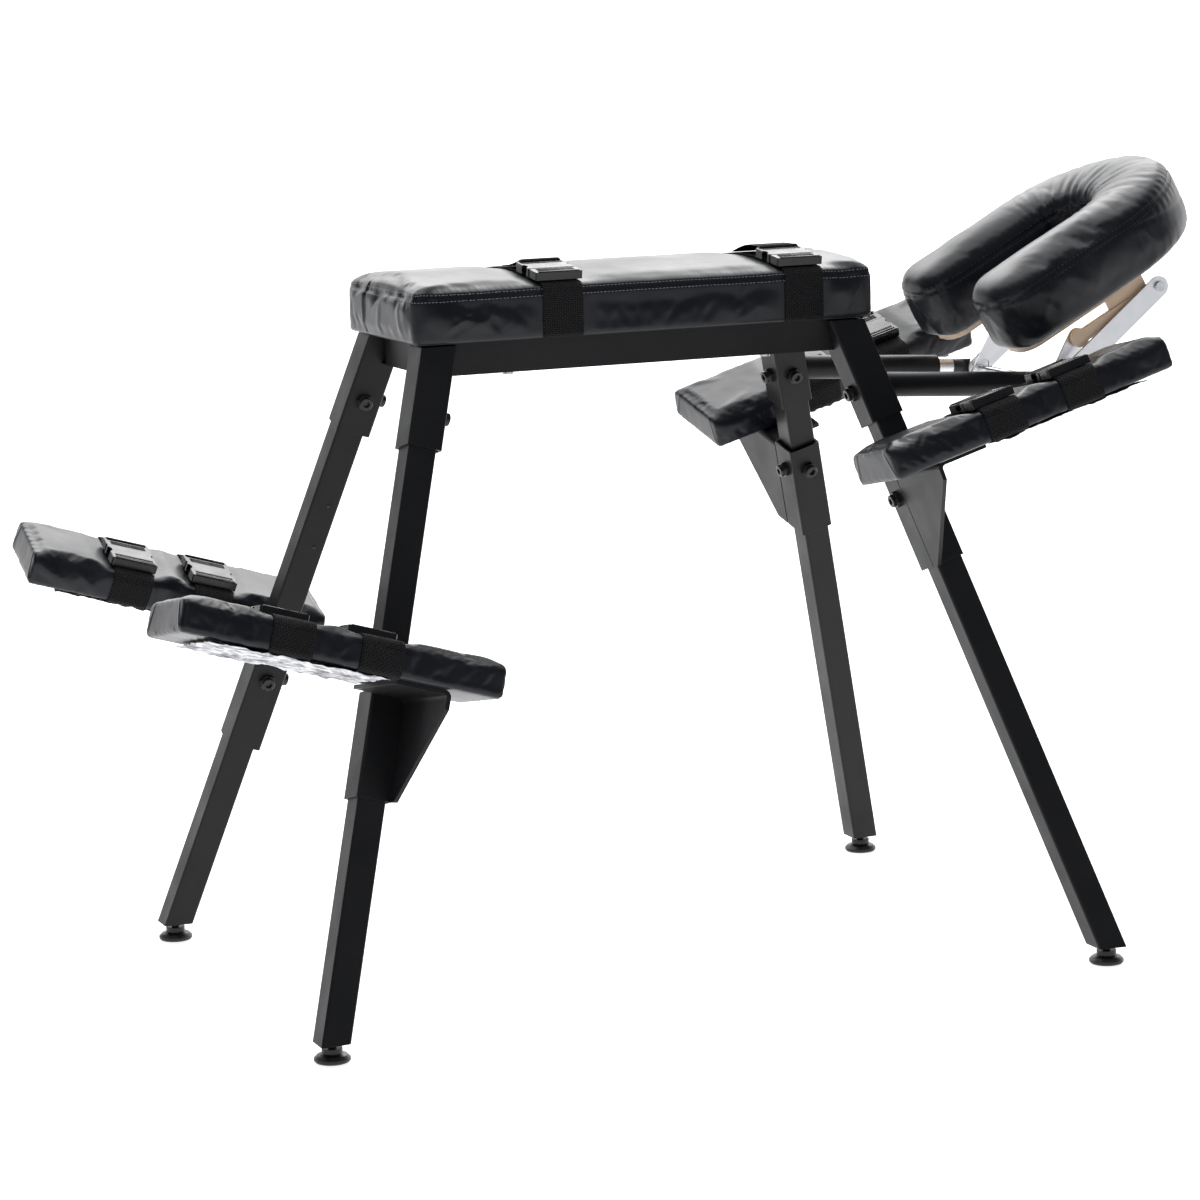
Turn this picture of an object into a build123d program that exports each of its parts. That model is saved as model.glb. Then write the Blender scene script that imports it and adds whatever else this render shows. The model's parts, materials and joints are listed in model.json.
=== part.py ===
from build123d import *
import math
import os

os.makedirs("parts", exist_ok=True)

# ---- driving dimensions, mm -------------------------------------------------
FRAME_X = -51.1            # middle of the top frame along the bench
FRAME_Y = -0.9             # middle of the top frame across it
RAIL = 40.0                # square rail tube
RAIL_WALL = 2.0
RAIL_BOTTOM = 754.6
RAIL_TOP = RAIL_BOTTOM + RAIL
FRAME_HALF_LENGTH = 273.4
FRAME_HALF_WIDTH = 103.0

SEAT_LENGTH = 602.6
SEAT_WIDTH = 247.0
SEAT_EDGE_HEIGHT = 62.8    # height of the pad at its long edges
SEAT_CROWN = 12.0          # extra height along the middle
SEAT_WRAP = 4.0            # foam and cover around the board edge
BOARD_THICK = 12.0

SOCKET = 44.0              # outside of sockets and sleeves
SOCKET_WALL = 2.5
SOCKET_FROM = 730.0        # along the leg, measured from the floor point
SOCKET_TOP_Z = 792.0
LEG = 35.4                 # telescoping leg tube
LEG_WALL = 2.0
LEG_TOP = 800.0
LEG_FOOT_Z = 22.0          # height of the level cut at the foot
SLIDE_GAP = 0.05           # leg to the two walls it bears on
SET_OFF = (SOCKET - 2 * SOCKET_WALL - LEG) / 2 - SLIDE_GAP
SCREW_DROP_SOCKET = 44.0
SCREW_DROP_SLEEVE = 33.0

SCREW_D = 10.0
SCREW_HEAD_D = 16.0
SCREW_HEAD_H = 6.0
SCREW_REACH = 10.5
NUT_AF = 18.0
NUT_H = 5.0

SLEEVE_LENGTH = 127.0
BRACKET_THICK = 5.0
BRACKET_OUT = 155.0
BRACKET_FOOT = 45.0
BRACKET_EDGE = 22.0
FLANGE_WIDTH = 68.0
BEND_R = 9.0

REST_LENGTH = 394.0
REST_WIDTH = 124.0
REST_THICK = 41.0
REST_OUT = 113.0
REST_EDGE = 13.0           # roll along the long upper edges
REST_FOOT = 6.0
REST_END = 4.0

WEB_WIDTH = 50.8
WEB_THICK = 1.6
WEB_GAP = 0.1

BUCKLE_WIDTH = 60.0
BUCKLE_BACK = -34.0
BUCKLE_MOUTH = 10.0
BUCKLE_FRONT = 34.0
BUCKLE_HEIGHT = 11.0
CAVITY_WIDTH = 44.0
CAVITY_LOW = 2.5
CAVITY_HIGH = 8.5
PRONG_GAP = 0.1

TUBE_OD = 31.0
TUBE_ID = 25.6
POST_OD = 25.4
TUBE_Y = 120.0
TUBE_DROOP = 3.5
TUBE_START_X = FRAME_X + 317.7
TUBE_START_Z = 709.0
TUBE_FAR = 191.4
TUBE_NEAR = 210.4
POST_END = 213.0
HUB_END = 236.0

LINK_Y = 114.0
LINK_THICK = 4.0
LINK_WIDTH = 27.0
ARM_Y = 107.5
ARM_THICK = 7.0
ARM_WIDTH = 16.0
STRUT_Y = 100.0
STRUT_THICK = 3.0
STRUT_WIDTH = 24.0
AXLE_D = 8.0
LOW_PIVOT = (FRAME_X + 568.2, 693.7)
TOP_PIVOT = (FRAME_X + 709.2, 808.0)
RIVET = (FRAME_X + 598.2, 748.8)
CRADLE_TILT = 28.1
CUSHION_ORIGIN = (FRAME_X + 496.7, 745.6)
CUSHION_LENGTH = 336.0
CUSHION_WIDTH = 306.0
CUSHION_THICK = 84.0       # above the mounting face
CUSHION_SKIRT = 10.0       # hangs below it, round the platform
CUSHION_NOSE = 6.0         # prong ends past the reference point
CUSHION_OPENING = 92.0
CUSHION_SLOT = 226.0
PLATFORM_THICK = 12.0
PLATFORM_GAP = 4.0
PLATFORM_SHIFT = 8.0

# end: -1 knee end, +1 head end; side: -1 near, +1 far; rest_top up the leg;
# along: pad middle outward along the bench; droop: degrees the bracket leans down
KNEE = dict(end=-1, foot=(506.7, 325.0), top=(278.8, 104.0))
ARM = dict(end=1, foot=(505.1, 352.6), top=(278.8, 107.1))
LEGS = {
    "knee_near": dict(KNEE, side=-1, rest_top=434.0, along=117.0, droop=3.5),
    "knee_far": dict(KNEE, side=1, rest_top=418.0, along=116.0, droop=0.0),
    "arm_near": dict(ARM, side=-1, rest_top=665.0, along=112.0, droop=6.0),
    "arm_far": dict(ARM, side=1, rest_top=665.0, along=108.0, droop=0.0),
}
LEG_REF_Z = 760.0
KNEE_STRAPS = (182.0, 74.0)      # strap positions along the rest, from the leg axis outward
ARM_STRAPS = (72.0, 181.0)
KNEE_BUCKLE = (-14.0, -10.0)     # across the pad: near rest, far rest
ARM_BUCKLE = (14.0, 0.0)
SEAT_STRAPS = (-112.0, 206.0)
SEAT_BUCKLE_Y = -80.0


def save(shape, name):
    export_step(shape, "parts/" + name + ".step")


def group(shapes):
    return Compound(children=list(shapes))


def leg_plane(spec):
    fx, fy = spec["foot"]
    tx, ty = spec["top"]
    foot = Vector(FRAME_X + spec["end"] * fx, FRAME_Y + spec["side"] * fy, 0)
    top = Vector(FRAME_X + spec["end"] * tx, FRAME_Y + spec["side"] * ty, LEG_REF_Z)
    up = (top - foot).normalized()
    return Plane(origin=foot, x_dir=Vector(0, 1, 0).cross(up), z_dir=up)


def at_leg(spec, a, b, t):
    """a outward along the bench, b outward across it, t up the leg."""
    return leg_plane(spec).location * Pos(a * spec["end"], b * spec["side"], t)


def square_tube(size, wall, length):
    outer = extrude(RectangleRounded(size, size, 3.0), length)
    bore = size - 2 * wall
    return outer - extrude(RectangleRounded(bore, bore, 1.0), length)


def square_bar(size, length):
    return extrude(RectangleRounded(size, size, 3.0), length)


def clamp_frames(spec, t):
    """Frames on the two inner faces, z pointing out of the face."""
    end = spec["end"]
    side = spec["side"]
    face = -SET_OFF - SOCKET / 2
    along = at_leg(spec, face, -SET_OFF, t) * Rot(0, -90 * end, 0)
    across = at_leg(spec, -SET_OFF, face, t) * Rot(90 * side, 0, 0)
    return [along, across]


def clamp_screw():
    # the tip stops just short of the leg face it presses on
    tip = -(SOCKET - LEG) / 2 - SET_OFF + SLIDE_GAP
    shank = Pos(0, 0, tip) * extrude(Circle(SCREW_D / 2), SCREW_REACH)
    head = Pos(0, 0, tip + SCREW_REACH) * extrude(Circle(SCREW_HEAD_D / 2), SCREW_HEAD_H)
    head = chamfer(head.edges().group_by(Axis.Z)[-1], 0.8)
    socket = Pos(0, 0, tip + SCREW_REACH + 2.5) * extrude(RegularPolygon(4.6, 6), 6)
    return shank + head - socket


def clamp_nut():
    nut = extrude(RegularPolygon(NUT_AF / 2, 6, major_radius=False), NUT_H)
    return nut - extrude(Circle(SCREW_D / 2 + 0.05), NUT_H)


def clamp_hole():
    return Pos(0, 0, -2 * SOCKET_WALL) * extrude(Circle(5.2), 3 * SOCKET_WALL)


# ---- top frame --------------------------------------------------------------
def socket_blank(spec):
    top = 900.0
    return at_leg(spec, -SET_OFF, -SET_OFF, SOCKET_FROM) * square_bar(SOCKET, top - SOCKET_FROM)


def make_socket(spec):
    body = at_leg(spec, -SET_OFF, -SET_OFF, SOCKET_FROM) * square_tube(
        SOCKET, SOCKET_WALL, 900.0 - SOCKET_FROM
    )
    body -= Pos(FRAME_X, 0, SOCKET_TOP_Z + 100) * Box(1200, 600, 200)
    for frame in clamp_frames(spec, SOCKET_FROM + SCREW_DROP_SOCKET):
        body -= frame * clamp_hole()
    return body


def make_rails():
    mid_z = (RAIL_BOTTOM + RAIL_TOP) / 2
    side_y = FRAME_HALF_WIDTH - RAIL / 2
    end_x = FRAME_HALF_LENGTH - RAIL / 2
    inner = RAIL - 2 * RAIL_WALL
    solids = []
    for side in (-1, 1):
        rail = Box(2 * FRAME_HALF_LENGTH, RAIL, RAIL) - Box(2 * FRAME_HALF_LENGTH, inner, inner)
        solids.append(Pos(FRAME_X, FRAME_Y + side * side_y, mid_z) * rail)
    span = 2 * (FRAME_HALF_WIDTH - RAIL)
    for end in (-1, 1):
        rail = Box(RAIL, span, RAIL) - Box(inner, span, inner)
        solids.append(Pos(FRAME_X + end * end_x, FRAME_Y, mid_z) * rail)
    result = []
    for rail in solids:
        for spec in LEGS.values():
            rail -= socket_blank(spec)
        # scraps left outside the sockets are dropped with the cut
        result.append(max(rail.solids(), key=lambda piece: piece.volume))
    return result


save(group([make_socket(spec) for spec in LEGS.values()]), "leg_sockets")

clamps = []
for spec in LEGS.values():
    for frame in clamp_frames(spec, SOCKET_FROM + SCREW_DROP_SOCKET):
        clamps.append(frame * clamp_nut())
        clamps.append(frame * clamp_screw())
save(group(clamps), "socket_clamps")

# ---- receiver tubes for the face cradle -------------------------------------
TUBE_FRAME = Location((TUBE_START_X, FRAME_Y, TUBE_START_Z), (0, 90 + TUBE_DROOP, 0))


def at_tube(y, s):
    return TUBE_FRAME * Pos(0, y, s)


def make_receiver(side, length):
    root = -30.0
    ring = Circle(TUBE_OD / 2) - Circle(TUBE_ID / 2)
    tube = at_tube(side * TUBE_Y, root) * extrude(ring, length - root)
    for spec in LEGS.values():
        tube -= socket_blank(spec)
    # keep the part outside the socket
    return max(tube.solids(), key=lambda piece: piece.center().X)


save(group([make_receiver(-1, TUBE_NEAR), make_receiver(1, TUBE_FAR)]), "receiver_tubes")

# ---- seat -------------------------------------------------------------------
ARC_R = SEAT_WIDTH ** 2 / (8 * SEAT_CROWN) + SEAT_CROWN / 2


def crown_drop(y):
    return ARC_R - math.sqrt(ARC_R ** 2 - y ** 2)


def seat_section(grow, radius):
    """Pad outline across the bench, grown outward by grow."""
    half = SEAT_WIDTH / 2
    edge = RAIL_TOP + SEAT_EDGE_HEIGHT
    crown = edge + SEAT_CROWN
    low = RAIL_TOP - grow
    outline = make_face(
        Polyline((-half - grow, edge + grow), (-half - grow, low), (half + grow, low), (half + grow, edge + grow))
        + ThreePointArc((half + grow, edge + grow), (0, crown + grow), (-half - grow, edge + grow))
    )
    upper = outline.vertices().group_by(Axis.Y)[-1]
    return fillet(upper, radius + grow)


def across_bench(face, length, x):
    frame = Plane(origin=(x - length / 2, FRAME_Y, 0), x_dir=(0, 1, 0), z_dir=(1, 0, 0))
    return frame.location * extrude(face, length)


BOARD_GROOVE = WEB_THICK + 2 * WEB_GAP
board = Pos(FRAME_X, FRAME_Y, RAIL_TOP + BOARD_THICK / 2) * Box(
    SEAT_LENGTH - 2 * SEAT_WRAP, SEAT_WIDTH - 2 * SEAT_WRAP, BOARD_THICK
)
seat = across_bench(seat_section(0.0, 10.0), SEAT_LENGTH, FRAME_X)
seat = fillet(seat.edges().filter_by(Axis.Z), 10.0)
seat -= board
for place in SEAT_STRAPS:
    groove = Pos(FRAME_X + place, FRAME_Y, RAIL_TOP + BOARD_GROOVE / 2) * Box(
        WEB_WIDTH + 1.0, SEAT_WIDTH + 2, BOARD_GROOVE
    )
    board -= groove
    seat -= groove
bolts = []
for x in (-170.0, 170.0):
    for y in (-83.0, 83.0):
        spot = Pos(FRAME_X + x, FRAME_Y + y, RAIL_BOTTOM)
        board -= spot * Pos(0, 0, RAIL) * extrude(Circle(3.0), 9.0)
        bolt = extrude(Circle(3.0), RAIL + 8.5) + Pos(0, 0, -4.0) * extrude(Circle(6.5), 4.0)
        bolts.append(spot * (bolt - Pos(0, 0, -4.0) * extrude(RegularPolygon(3.0, 6), 2.5)))
rails = make_rails()
drilled = []
for rail in rails:
    for x in (-170.0, 170.0):
        for y in (-83.0, 83.0):
            rail -= Pos(FRAME_X + x, FRAME_Y + y, RAIL_BOTTOM) * extrude(Circle(3.3), RAIL)
    drilled.append(rail)
save(group(drilled), "frame_rails")
save(board, "seat_board")
save(seat, "seat_pad")
save(group(bolts), "seat_bolts")


def seat_loop(x):
    outer = seat_section(WEB_GAP + WEB_THICK, 10.0)
    inner = seat_section(WEB_GAP, 10.0)
    # the lower run lies in the groove under the board
    outer_low = across_bench(outer, WEB_WIDTH, x)
    inner_low = across_bench(inner, WEB_WIDTH, x)
    floor = RAIL_TOP + WEB_GAP / 2
    loop = outer_low - inner_low
    loop -= Pos(x, FRAME_Y, floor - 50) * Box(WEB_WIDTH + 2, 400, 100)
    run = Pos(x, FRAME_Y, floor + WEB_THICK / 2) * Box(
        WEB_WIDTH, SEAT_WIDTH + 2 * WEB_GAP + 2 * WEB_THICK, WEB_THICK
    )
    return loop + run


save(group([seat_loop(FRAME_X + place) for place in SEAT_STRAPS]), "seat_straps")


# ---- side release buckles ---------------------------------------------------
def buckle_body():
    length = BUCKLE_MOUTH - BUCKLE_BACK
    mid = (BUCKLE_MOUTH + BUCKLE_BACK) / 2
    body = Pos(0, mid, BUCKLE_HEIGHT / 2) * Box(BUCKLE_WIDTH, length, BUCKLE_HEIGHT)
    body = fillet(body.edges().filter_by(Axis.Z), 3.0)
    body = fillet(body.edges().group_by(Axis.Z)[-1], 1.5)
    deep = 32.0
    height = CAVITY_HIGH - CAVITY_LOW
    cavity = Pos(0, BUCKLE_MOUTH - deep / 2, CAVITY_LOW + height / 2) * Box(CAVITY_WIDTH, deep, height)
    body -= cavity
    for side in (-1, 1):
        window = Pos(side * BUCKLE_WIDTH / 2, -6.0, CAVITY_LOW + height / 2)
        body -= window * Box(2 * (BUCKLE_WIDTH - CAVITY_WIDTH) / 2 + 2, 16.0, height)
        scoop = Pos(side * (BUCKLE_WIDTH / 2 + 5.0), -6.0, -1.0) * extrude(Circle(9.0), BUCKLE_HEIGHT + 2)
        body -= scoop
    slot = Pos(0, -28.5, BUCKLE_HEIGHT / 2) * Box(WEB_WIDTH + 1.2, 4.5, BUCKLE_HEIGHT + 2)
    return body - slot


def buckle_plug():
    start = BUCKLE_MOUTH + 0.3
    length = BUCKLE_FRONT - start
    base = Pos(0, (start + BUCKLE_FRONT) / 2, BUCKLE_HEIGHT / 2) * Box(BUCKLE_WIDTH, length, BUCKLE_HEIGHT - 1)
    base = fillet(base.edges().filter_by(Axis.Z), 2.5)
    base -= Pos(0, 28.0, BUCKLE_HEIGHT / 2) * Box(WEB_WIDTH + 1.2, 4.5, BUCKLE_HEIGHT + 2)
    low = CAVITY_LOW + PRONG_GAP
    high = CAVITY_HIGH - PRONG_GAP
    outer = CAVITY_WIDTH / 2 - PRONG_GAP
    plug = base
    for side in (-1, 1):
        prong = Pos(side * (outer - 4.0), -2.0, (low + high) / 2) * Box(8.0, 28.0, high - low)
        plug += prong
    tongue = Pos(0, 0.0, (low + high) / 2) * Box(9.0, 24.0, high - low)
    return plug + tongue


BODY = buckle_body()
PLUG = buckle_plug()
BUCKLE_LIFT = 0.1
SEAT_BUCKLE_LIFT = 0.3       # clears the crown of the webbing


def seat_buckle_frame(x):
    y = SEAT_BUCKLE_Y
    z = RAIL_TOP + SEAT_EDGE_HEIGHT + SEAT_CROWN - crown_drop(y) + WEB_GAP + WEB_THICK + SEAT_BUCKLE_LIFT
    tilt = math.degrees(math.asin(-y / ARC_R))
    return Location((x, FRAME_Y + y, z), (tilt, 0, 0)) * Rot(0, 0, 180)


bodies = []
for index, place in enumerate(SEAT_STRAPS):
    frame = seat_buckle_frame(FRAME_X + place)
    bodies.append(frame * BODY)
    save(frame * PLUG, "seat_plug_" + str(index + 1))
save(group(bodies), "seat_buckles")


# ---- legs -------------------------------------------------------------------
def make_leg(spec):
    tube = at_leg(spec, 0, 0, -40) * square_tube(LEG, LEG_WALL, LEG_TOP + 40)
    return tube - Pos(0, 0, LEG_FOOT_Z - 50) * Box(2000, 1200, 100)


def make_insert(spec):
    bore = LEG - 2 * LEG_WALL - 0.1
    plug = at_leg(spec, 0, 0, -40) * square_bar(bore, 40 + 52)
    plug -= Pos(0, 0, LEG_FOOT_Z - 50) * Box(2000, 1200, 100)
    stem = foot_frame(spec) * extrude(Circle(5.05), 60)
    return plug - stem


def foot_frame(spec):
    """Upright frame on the floor under the middle of the level cut."""
    p = at_leg(spec, 0, 0, 0).position
    up = leg_plane(spec).z_dir
    k = LEG_FOOT_Z / up.Z
    return Pos(p.X + up.X * k, p.Y + up.Y * k, 0)


def make_glide(spec):
    profile = make_face(
        Polyline(
            (0, 0), (19.5, 0), (21.5, 2.0), (21.5, 5.0), (18.0, 8.5), (12.2, 10.5),
            (12.2, 16.5), (5.0, 16.5), (5.0, 40.0), (0, 40.0), (0, 0)
        )
    )
    body = revolve(Plane.XZ * profile, Axis.Z)
    return foot_frame(spec) * body


# ---- knee and arm rests -----------------------------------------------------
def make_carrier(spec):
    top = spec["rest_top"]
    low = top - SLEEVE_LENGTH
    sleeve = at_leg(spec, -SET_OFF, -SET_OFF, low) * square_tube(SOCKET, SOCKET_WALL, SLEEVE_LENGTH)
    for frame in clamp_frames(spec, top - SCREW_DROP_SLEEVE):
        sleeve -= frame * clamp_hole()
    inner = -SET_OFF - SOCKET / 2
    outer = inner + FLANGE_WIDTH
    near = -SET_OFF + SOCKET / 2
    section = Polyline(
        (inner, low), (inner + BRACKET_THICK, low), (inner + BRACKET_THICK, top - BRACKET_THICK),
        (outer, top - BRACKET_THICK), (outer, top), (inner, top), (inner, low)
    )
    profile = make_face(section)
    corner = [v for v in profile.vertices() if abs(v.X - inner) < 0.1 and abs(v.Y - top) < 0.1]
    profile = fillet(corner, BEND_R)
    notch = [
        v for v in profile.vertices()
        if abs(v.X - inner - BRACKET_THICK) < 0.1 and abs(v.Y - top + BRACKET_THICK) < 0.1
    ]
    profile = fillet(notch, BEND_R - BRACKET_THICK)
    width = BRACKET_OUT - near
    plate = extrude(Plane.XZ * profile, -width)
    plate = Pos(0, near, 0) * plate
    taper = Plane.YZ * make_face(
        Polyline(
            (BRACKET_OUT + 5, top - BRACKET_EDGE), (BRACKET_OUT + 5, low - 5), (BRACKET_FOOT - 2, low - 5),
            (BRACKET_FOOT, low), (BRACKET_OUT, top - BRACKET_EDGE), (BRACKET_OUT + 5, top - BRACKET_EDGE)
        )
    )
    cutter = Pos(inner - 5, 0, 0) * extrude(taper, BRACKET_THICK + 9)
    plate -= cutter
    # a formed flange welded along the top of a flat web, leaning down at its outer edge
    seam = Plane.XY.offset(top - BEND_R - 1)
    pieces = [sleeve]
    for keep in (Keep.TOP, Keep.BOTTOM):
        piece = split(plate, bisect_by=seam, keep=keep)
        piece = Pos(0, near, top) * Rot(-spec["droop"], 0, 0) * Pos(0, -near, -top) * piece
        piece -= Pos(-SET_OFF, -SET_OFF, top - 200) * Box(SOCKET, SOCKET, 500)
        if spec["end"] < 0:
            piece = mirror(piece, Plane.YZ)
        if spec["side"] < 0:
            piece = mirror(piece, Plane.XZ)
        pieces.append(leg_plane(spec).location * piece)
    return pieces


def rest_frame(spec, along, across, height):
    """Frame on the rest: x along it, y outward across it, z off its face."""
    hinge = SOCKET / 2 - SET_OFF
    turn = Rot(-spec["droop"] * spec["side"], 0, 0)
    base = at_leg(spec, 0, hinge, spec["rest_top"]) * turn
    base *= Pos(along * spec["end"], (REST_OUT - hinge + across) * spec["side"], height)
    if spec["side"] < 0:
        return base * Rot(0, 0, 180)
    return base


def rest_section(grow):
    face = Rectangle(REST_WIDTH + 2 * grow, REST_THICK + 2 * grow)
    upper = face.vertices().group_by(Axis.Y)[-1]
    face = fillet(upper, REST_EDGE + grow)
    lower = face.vertices().group_by(Axis.Y)[0]
    return fillet(lower, REST_FOOT + grow)


def make_rest_pad(spec):
    pad = Pos(-REST_LENGTH / 2, 0, 0) * extrude(Plane.YZ * rest_section(0.0), REST_LENGTH)
    ends = pad.edges().group_by(Axis.X)
    pad = fillet(ends[0] + ends[-1], REST_END)
    return rest_frame(spec, spec["along"], 0, REST_THICK / 2 + 0.05) * pad


def rest_loop(spec, along):
    ring = rest_section(WEB_GAP + WEB_THICK) - rest_section(WEB_GAP)
    band = Pos(-WEB_WIDTH / 2, 0, 0) * extrude(Plane.YZ * ring, WEB_WIDTH)
    return rest_frame(spec, along, 0, REST_THICK / 2 + 0.05) * band


for name, spec in LEGS.items():
    save(make_leg(spec), name + "_leg")
    save(make_insert(spec), name + "_insert")
    save(make_glide(spec), name + "_glide")
    save(group(make_carrier(spec)), name + "_carrier")
    hardware = []
    for frame in clamp_frames(spec, spec["rest_top"] - SCREW_DROP_SLEEVE):
        hardware.append(frame * clamp_nut())
        hardware.append(frame * clamp_screw())
    save(group(hardware), name + "_clamps")
    save(make_rest_pad(spec), name + "_pad")
    knee = spec["end"] < 0
    places = KNEE_STRAPS if knee else ARM_STRAPS
    across = (KNEE_BUCKLE if knee else ARM_BUCKLE)[0 if spec["side"] < 0 else 1]
    save(group([rest_loop(spec, along) for along in places]), name + "_straps")
    bodies = []
    for index, along in enumerate(places):
        height = REST_THICK + 0.05 + WEB_GAP + WEB_THICK + BUCKLE_LIFT
        frame = rest_frame(spec, along, across, height)
        bodies.append(frame * BODY)
        save(frame * PLUG, name + "_plug_" + str(index + 1))
    save(group(bodies), name + "_buckles")


# ---- face cradle ------------------------------------------------------------
def side_plate(outline, y, thick):
    """Flat plate drawn in the upright X-Z plane, centred on y."""
    return Pos(0, FRAME_Y + y + thick / 2, 0) * extrude(Plane.XZ * outline, thick)


def bar_outline(start, end, width):
    dx = end[0] - start[0]
    dz = end[1] - start[1]
    span = math.hypot(dx, dz)
    slot = SlotCenterToCenter(span, width)
    turn = Rot(0, 0, math.degrees(math.atan2(dz, dx)))
    return Pos((start[0] + end[0]) / 2, (start[1] + end[1]) / 2) * turn * slot


def hole_at(point, radius):
    return Pos(point[0], point[1]) * Circle(radius)


posts = []
hubs = []
for side in (-1, 1):
    posts.append(at_tube(side * TUBE_Y, 20.0) * extrude(Circle(POST_OD / 2), POST_END - 20.0))
    cone = Cone(10.8, 9.8, HUB_END - POST_END, align=(Align.CENTER, Align.CENTER, Align.MIN))
    hub = at_tube(side * TUBE_Y, POST_END) * cone
    lug = side_plate(bar_outline((LOW_PIVOT[0] - 25.5, 695.3), LOW_PIVOT, 20.0), side * 121.0, 7.0)
    hub = hub + lug
    hub -= side_plate(hole_at(LOW_PIVOT, AXLE_D / 2 + 0.05), side * 121.0, 40.0)
    # the inner half is cut away where the link and strut swing
    relief = bar_outline((LOW_PIVOT[0] - 5, LOW_PIVOT[1]), (LOW_PIVOT[0] + 20, LOW_PIVOT[1]), 36.0)
    hub -= side_plate(relief, side * 107.25, 20.5)
    hubs.append(max(hub.solids(), key=lambda piece: piece.volume))
save(group(posts), "cradle_posts")
save(group(hubs), "cradle_hubs")

axle_span = 2 * 129.0
axle = side_plate(hole_at(LOW_PIVOT, AXLE_D / 2), 0, axle_span)
for side in (-1, 1):
    cap = side_plate(hole_at(LOW_PIVOT, 9.0), side * 127.2, 5.0)
    axle += cap
save(axle, "cradle_axle")

links = []
arms = []
struts = []
pins = []
for side in (-1, 1):
    link = bar_outline(LOW_PIVOT, TOP_PIVOT, LINK_WIDTH)
    link -= hole_at(LOW_PIVOT, AXLE_D / 2 + 0.05)
    link -= hole_at(TOP_PIVOT, 3.0)
    links.append(side_plate(link, side * LINK_Y, LINK_THICK))
    pin = side_plate(hole_at(TOP_PIVOT, 3.0), side * 109.5, 15.0)
    pin += side_plate(hole_at(TOP_PIVOT, 6.5), side * 118.0, 3.0)
    pins.append(pin)
    strut_far = (
        RIVET[0] + (LOW_PIVOT[0] - RIVET[0]) * 1.22,
        RIVET[1] + (LOW_PIVOT[1] - RIVET[1]) * 1.22,
    )
    strut = bar_outline(RIVET, strut_far, STRUT_WIDTH)
    slot_from = (
        RIVET[0] + (LOW_PIVOT[0] - RIVET[0]) * 0.90,
        RIVET[1] + (LOW_PIVOT[1] - RIVET[1]) * 0.90,
    )
    slot_to = (
        RIVET[0] + (LOW_PIVOT[0] - RIVET[0]) * 1.12,
        RIVET[1] + (LOW_PIVOT[1] - RIVET[1]) * 1.12,
    )
    strut -= bar_outline(slot_from, slot_to, 13.0)
    strut -= hole_at(RIVET, 3.05)
    struts.append(side_plate(strut, side * STRUT_Y, STRUT_THICK))
save(group(links), "cradle_links")
save(group(pins), "cradle_pins")
save(group(struts), "cradle_struts")

CRADLE = Plane(
    origin=(CUSHION_ORIGIN[0], FRAME_Y, CUSHION_ORIGIN[1]),
    x_dir=(math.cos(math.radians(CRADLE_TILT)), 0, math.sin(math.radians(CRADLE_TILT))),
    z_dir=(-math.sin(math.radians(CRADLE_TILT)), 0, math.cos(math.radians(CRADLE_TILT))),
)


def horseshoe(length, width, opening, slot, prong_round):
    """Plan outline: u from the open ends, v across."""
    radius = width / 2
    outer = Pos((length - radius) / 2, 0) * Rectangle(length - radius, width)
    outer += Pos(length - radius, 0) * Circle(radius)
    inner = Pos((slot - opening / 2) / 2 - 5, 0) * Rectangle(slot - opening / 2 + 10, opening)
    inner += Pos(slot - opening / 2, 0) * Circle(opening / 2)
    shape = outer - inner
    tips = [v for v in shape.vertices() if v.X < 1.0]
    return fillet(tips, prong_round)


platform_outline = horseshoe(
    CUSHION_LENGTH - 72, CUSHION_WIDTH - 44, CUSHION_OPENING + 34, CUSHION_SLOT - 30, 25.0
)
platform = extrude(platform_outline, PLATFORM_THICK)
platform = CRADLE.location * Pos(PLATFORM_SHIFT, 0, -PLATFORM_GAP - PLATFORM_THICK) * platform
pieces = [platform]
for side in (-1, 1):
    arm = bar_outline(RIVET, TOP_PIVOT, ARM_WIDTH) + hole_at(RIVET, 12.0)
    arm -= hole_at(TOP_PIVOT, 3.05)
    arm_plate = side_plate(arm, side * ARM_Y, ARM_THICK)
    # the web carries the arm up to the underside of the platform
    web = CRADLE.location * Pos(175.0, side * (ARM_Y - 1.0), -28.0) * Box(60.0, ARM_THICK - 2.0, 24.0)
    pieces.append(arm_plate + web)
    rivet = side_plate(hole_at(RIVET, 3.0), side * 103.2, 12.0)
    rivet += side_plate(hole_at(RIVET, 5.5), side * 97.4, 2.0)
    pins.append(rivet)
head = pieces[0] + pieces[1] + pieces[2]
for side in (-1, 1):
    head -= side_plate(hole_at(RIVET, 3.0), side * 103.2, 12.0)
save(head, "cradle_platform")
save(group(pins[:2]), "cradle_pins")
save(group(pins[2:]), "cradle_rivets")

cushion = extrude(
    horseshoe(
        CUSHION_LENGTH + CUSHION_NOSE, CUSHION_WIDTH, CUSHION_OPENING, CUSHION_SLOT + CUSHION_NOSE, 40.0
    ),
    CUSHION_THICK + CUSHION_SKIRT
)
cushion = fillet(cushion.edges().group_by(Axis.Z)[-1], 30.0)
cushion = fillet(cushion.edges().group_by(Axis.Z)[0], 12.0)
cushion = Pos(-CUSHION_NOSE, 0, -CUSHION_SKIRT) * cushion
cushion -= Pos(PLATFORM_SHIFT, 0, -CUSHION_SKIRT - 1) * extrude(
    offset(platform_outline, 1.5), CUSHION_SKIRT - PLATFORM_GAP + 2
)
save(CRADLE.location * cushion, "face_cushion")
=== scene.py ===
import bpy
import bmesh
import json
import math
import numpy as np
from mathutils import Matrix, Vector, noise
from mathutils.bvhtree import BVHTree


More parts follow.
